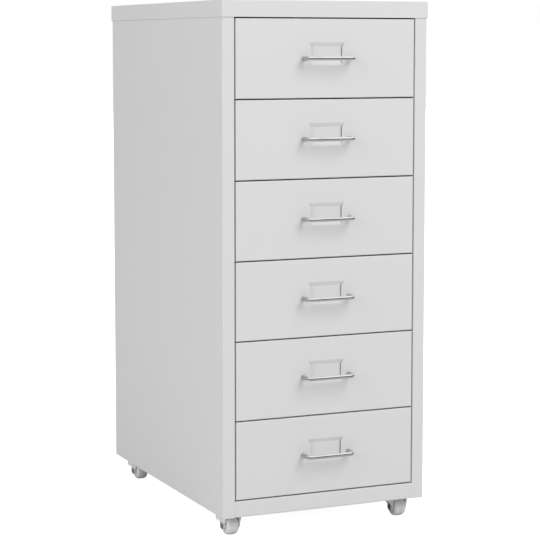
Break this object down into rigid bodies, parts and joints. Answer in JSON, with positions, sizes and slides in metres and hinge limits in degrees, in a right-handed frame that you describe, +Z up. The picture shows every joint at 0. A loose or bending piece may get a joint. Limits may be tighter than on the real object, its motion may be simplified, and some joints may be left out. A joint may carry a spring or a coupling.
{
  "type": "drawer cabinet",
  "caption": "Narrow steel cabinet on swivel casters, with a column of shallow sliding drawers, wire pulls and pressed card holders.",
  "frame": {"origin": "on the floor, under the middle of the overall box with every drawer closed", "axes": "+X to the right seen from the front, +Y from the drawer fronts to the back, +Z up"},
  "size_m": [0.286, 0.4336, 0.677],
  "materials": {
    "casing_paint": "light grey powder coat, fine texture",
    "runner_paint": "light grey powder coat, rubbed along the ledge",
    "drawer_paint": "light grey powder coat, fine texture",
    "handle_chrome": "bright chrome plate",
    "zinc_plate": "zinc plate",
    "fork_grey": "light grey moulded",
    "axle_steel": "zinc plate",
    "wheel_grey": "grey moulded tread"
  },
  "bodies": {
    "casing": {"left_side_panel": "casing_paint", "right_side_panel": "casing_paint", "back_panel": "casing_paint", "top_cover": "casing_paint", "bottom_pan": "casing_paint", "casing_screws": "zinc_plate", "runner_left_1": "runner_paint", "runner_left_2": "runner_paint", "runner_left_3": "runner_paint", "runner_left_4": "runner_paint", "runner_left_5": "runner_paint", "runner_left_6": "runner_paint", "runner_right_1": "runner_paint", "runner_right_2": "runner_paint", "runner_right_3": "runner_paint", "runner_right_4": "runner_paint", "runner_right_5": "runner_paint", "runner_right_6": "runner_paint", "caster_plate_front_left": "zinc_plate", "caster_plate_front_right": "zinc_plate", "caster_plate_back_left": "zinc_plate", "caster_plate_back_right": "zinc_plate", "caster_kingpins": "zinc_plate", "caster_screws": "zinc_plate"},
    "drawer_1": {"drawer_front_1": "drawer_paint", "drawer_tray_1": "drawer_paint", "drawer_handle_1": "handle_chrome", "handle_screws_1": "zinc_plate"},
    "drawer_2": {"drawer_front_2": "drawer_paint", "drawer_tray_2": "drawer_paint", "drawer_handle_2": "handle_chrome", "handle_screws_2": "zinc_plate"},
    "drawer_3": {"drawer_front_3": "drawer_paint", "drawer_tray_3": "drawer_paint", "drawer_handle_3": "handle_chrome", "handle_screws_3": "zinc_plate"},
    "drawer_4": {"drawer_front_4": "drawer_paint", "drawer_tray_4": "drawer_paint", "drawer_handle_4": "handle_chrome", "handle_screws_4": "zinc_plate"},
    "drawer_5": {"drawer_front_5": "drawer_paint", "drawer_tray_5": "drawer_paint", "drawer_handle_5": "handle_chrome", "handle_screws_5": "zinc_plate"},
    "drawer_6": {"drawer_front_6": "drawer_paint", "drawer_tray_6": "drawer_paint", "drawer_handle_6": "handle_chrome", "handle_screws_6": "zinc_plate"},
    "caster_front_left": {"caster_fork_front_left": "fork_grey", "caster_axle_front_left": "axle_steel"},
    "wheel_front_left": {"caster_wheel_front_left": "wheel_grey"},
    "caster_front_right": {"caster_fork_front_right": "fork_grey", "caster_axle_front_right": "axle_steel"},
    "wheel_front_right": {"caster_wheel_front_right": "wheel_grey"},
    "caster_back_left": {"caster_fork_back_left": "fork_grey", "caster_axle_back_left": "axle_steel"},
    "wheel_back_left": {"caster_wheel_back_left": "wheel_grey"},
    "caster_back_right": {"caster_fork_back_right": "fork_grey", "caster_axle_back_right": "axle_steel"},
    "wheel_back_right": {"caster_wheel_back_right": "wheel_grey"}
  },
  "joints": [
    {"name": "drawer_1_slide", "type": "slide", "parent": "casing", "child": "drawer_1", "axis": [0, -1, 0], "range_m": [0, 0.32]},
    {"name": "drawer_2_slide", "type": "slide", "parent": "casing", "child": "drawer_2", "axis": [0, -1, 0], "range_m": [0, 0.32]},
    {"name": "drawer_3_slide", "type": "slide", "parent": "casing", "child": "drawer_3", "axis": [0, -1, 0], "range_m": [0, 0.32]},
    {"name": "drawer_4_slide", "type": "slide", "parent": "casing", "child": "drawer_4", "axis": [0, -1, 0], "range_m": [0, 0.32]},
    {"name": "drawer_5_slide", "type": "slide", "parent": "casing", "child": "drawer_5", "axis": [0, -1, 0], "range_m": [0, 0.32]},
    {"name": "drawer_6_slide", "type": "slide", "parent": "casing", "child": "drawer_6", "axis": [0, -1, 0], "range_m": [0, 0.32]},
    {"name": "caster_front_left_swivel", "type": "hinge", "parent": "casing", "child": "caster_front_left", "pos_m": [-0.12, -0.15932, 0.0306], "axis": [0, 0, 1], "continuous": true},
    {"name": "wheel_front_left_roll", "type": "hinge", "parent": "caster_front_left", "child": "wheel_front_left", "pos_m": [-0.12, -0.16482, 0.0125], "axis": [1, 0, 0], "continuous": true},
    {"name": "caster_front_right_swivel", "type": "hinge", "parent": "casing", "child": "caster_front_right", "pos_m": [0.12, -0.15932, 0.0306], "axis": [0, 0, 1], "continuous": true},
    {"name": "wheel_front_right_roll", "type": "hinge", "parent": "caster_front_right", "child": "wheel_front_right", "pos_m": [0.12, -0.16482, 0.0125], "axis": [1, 0, 0], "continuous": true},
    {"name": "caster_back_left_swivel", "type": "hinge", "parent": "casing", "child": "caster_back_left", "pos_m": [-0.12, 0.17668, 0.0306], "axis": [0, 0, 1], "continuous": true},
    {"name": "wheel_back_left_roll", "type": "hinge", "parent": "caster_back_left", "child": "wheel_back_left", "pos_m": [-0.12, 0.17118, 0.0125], "axis": [1, 0, 0], "continuous": true},
    {"name": "caster_back_right_swivel", "type": "hinge", "parent": "casing", "child": "caster_back_right", "pos_m": [0.12, 0.17668, 0.0306], "axis": [0, 0, 1], "continuous": true},
    {"name": "wheel_back_right_roll", "type": "hinge", "parent": "caster_back_right", "child": "wheel_back_right", "pos_m": [0.12, 0.17118, 0.0125], "axis": [1, 0, 0], "continuous": true}
  ]
}
